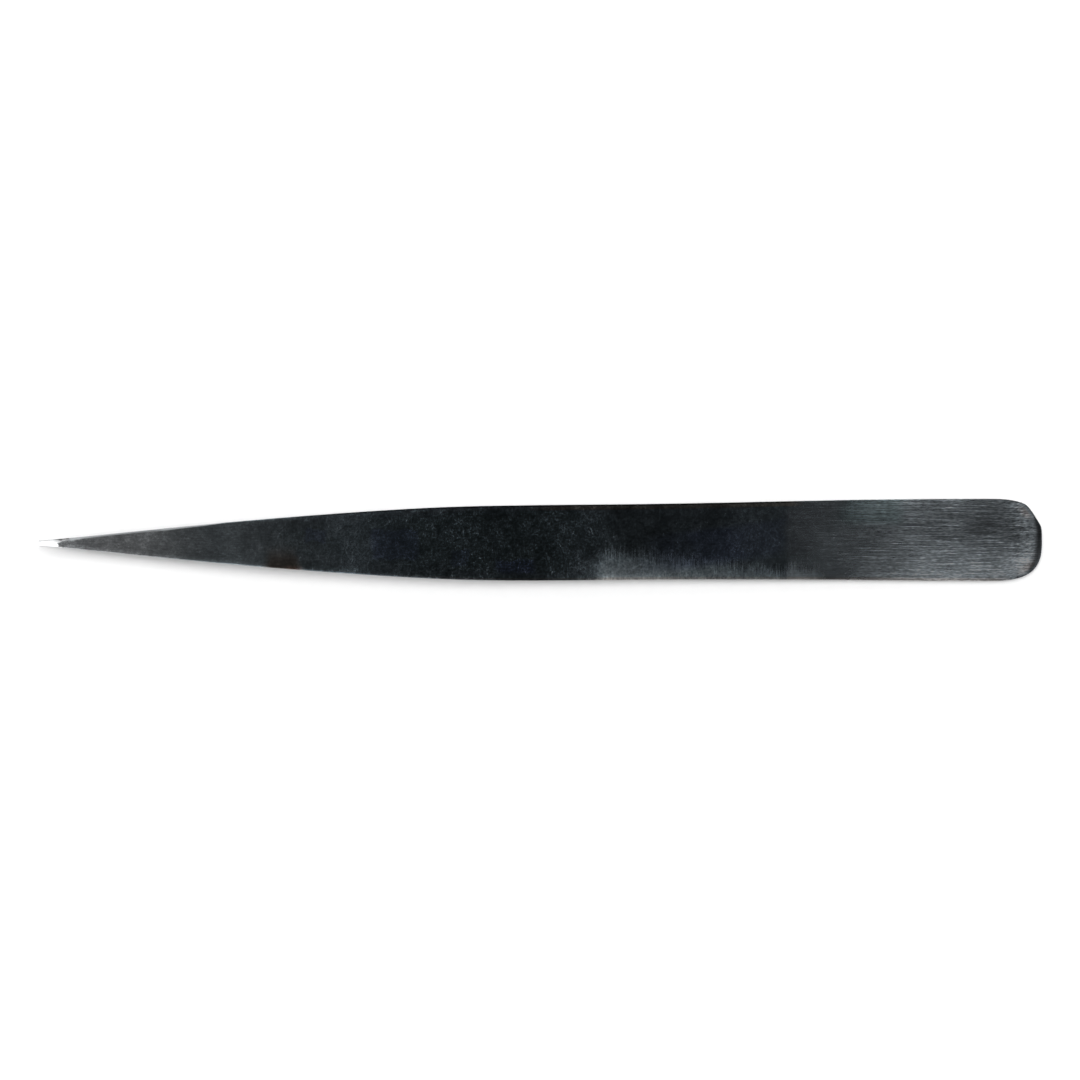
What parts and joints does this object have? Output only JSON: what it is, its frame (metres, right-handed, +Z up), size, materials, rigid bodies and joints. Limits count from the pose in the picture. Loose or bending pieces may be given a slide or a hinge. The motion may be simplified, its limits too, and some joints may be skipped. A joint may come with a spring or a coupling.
{
  "type": "precision tweezers",
  "caption": "Straight fine-point precision tweezers: broad flat steel spring arms welded together at a rounded heel, tapering to ground needle tips.",
  "frame": {"origin": "on the table, under the middle of the tweezers' bounding box, as they lie on the lower arm", "axes": "+X along the length towards the welded heel, tips at -X; +Z up; +Y across the width"},
  "size_m": [0.1202, 0.0098, 0.0125],
  "materials": {
    "arm_steel": "spring steel, satin brushed along the length at the heel, finely ground and reading dark gunmetal on the blades",
    "weld_steel": "fused metal, inside the heel"
  },
  "bodies": {
    "heel": {"upper_arm_heel": "arm_steel", "lower_arm_heel": "arm_steel", "spot_welds": "weld_steel"},
    "upper_arm": {"upper_arm_spring": "arm_steel", "upper_arm_blade": "arm_steel"},
    "lower_arm": {"lower_arm_spring": "arm_steel", "lower_arm_blade": "arm_steel"}
  },
  "joints": [
    {"name": "upper_arm_squeeze", "type": "hinge", "parent": "heel", "child": "upper_arm", "pos_m": [0.03438, 0, 0.00385], "axis": [0, -1, 0], "range_deg": [0, 3.33], "stiffness_Nm_per_rad": 1.64, "deforming": ["upper_arm_spring"]},
    {"name": "lower_arm_squeeze", "type": "hinge", "parent": "heel", "child": "lower_arm", "pos_m": [0.03425, 0, 0.00103], "axis": [0, 1, 0], "range_deg": [0, 3.33], "stiffness_Nm_per_rad": 1.64, "deforming": ["lower_arm_spring"]}
  ],
  "couplings": [
    {"joint": "lower_arm_squeeze", "follows": "upper_arm_squeeze", "ratio": 1}
  ]
}
